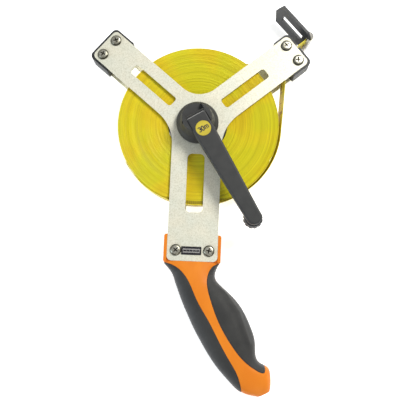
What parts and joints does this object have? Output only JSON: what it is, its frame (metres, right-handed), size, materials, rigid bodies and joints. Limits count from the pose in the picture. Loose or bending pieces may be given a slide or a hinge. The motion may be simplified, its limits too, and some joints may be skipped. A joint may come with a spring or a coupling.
{
  "type": "tape measure",
  "caption": "Open-reel measuring tape in a three-armed metal frame, with a folding crank, a slotted end ring and a soft-gripped handle.",
  "frame": {"origin": "on the reel's axle axis, on the flat outer face of the rear bearing cap, which the tape rests on when it lies on its back", "axes": "+Z along the axle to the crank side, +Y from the grip to the two upper arms, +X to the right"},
  "size_m": [0.1976, 0.3408, 0.0448],
  "materials": {
    "plate_steel": "fine speckled galvanised sheet, satin",
    "black_plastic": "fine moulded grain",
    "crank_black": "satin moulded plastic",
    "ring_black": "satin moulded plastic",
    "screw_chrome": "bright plated",
    "fastener_steel": "bright steel",
    "label_black": "printed film",
    "bearing_plastic": "natural acetal",
    "drum_plastic": "moulded plastic",
    "tape_yellow": "coated glass fibre",
    "badge_yellow": "printed cap",
    "clear_film": "clear soft film",
    "handle_orange": "satin moulded plastic",
    "soft_grip": "soft-touch overmould"
  },
  "bodies": {
    "frame": {"front_frame_plate": "plate_steel", "rear_frame_plate": "plate_steel", "left_spacer_block": "black_plastic", "tape_guide_block": "black_plastic", "frame_screws": "screw_chrome", "frame_washers": "fastener_steel", "frame_nuts": "fastener_steel", "name_label": "label_black", "rear_bearing_cap": "black_plastic", "cap_rivets": "fastener_steel", "front_bushing": "bearing_plastic", "rear_thrust_washer": "bearing_plastic", "front_thrust_washer": "bearing_plastic", "tape_strip": "tape_yellow", "handle_core": "handle_orange", "palm_grip": "soft_grip", "finger_grip": "soft_grip"},
    "reel": {"axle_shaft": "fastener_steel", "reel_drum": "drum_plastic", "tape_anchor_clip": "fastener_steel", "tape_coil": "tape_yellow", "hub_disc": "crank_black", "hub_screw": "fastener_steel", "crank_hinge_pin": "fastener_steel"},
    "crank": {"crank_arm": "crank_black", "length_badge": "badge_yellow", "knob_pin": "fastener_steel"},
    "knob": {"crank_knob": "crank_black"},
    "tape_end": {"tape_lead": "tape_yellow"},
    "hook": {"end_ring": "ring_black", "tape_end_loop": "tape_yellow", "end_sleeve": "clear_film"}
  },
  "joints": [
    {"name": "reel_spin", "type": "hinge", "parent": "frame", "child": "reel", "pos_m": [0, 0, 0.0145], "axis": [0, 0, 1], "continuous": true},
    {"name": "crank_fold", "type": "hinge", "parent": "reel", "child": "crank", "pos_m": [-0.00125, 0.00205, 0.042], "axis": [-0.8536, -0.521, 0], "range_deg": [0, 180]},
    {"name": "knob_spin", "type": "hinge", "parent": "crank", "child": "knob", "pos_m": [0.05017, -0.0822, 0.032], "axis": [0, 0, 1], "continuous": true},
    {"name": "tape_pull", "type": "slide", "parent": "frame", "child": "tape_end", "axis": [0.7705, 0.6374, 0], "range_m": [0, 0.0075]},
    {"name": "ring_pivot", "type": "hinge", "parent": "tape_end", "child": "hook", "pos_m": [0.09161, 0.07909, 0.0145], "axis": [0.1601, 0.1457, 0.9763], "range_deg": [-90, 6]}
  ]
}
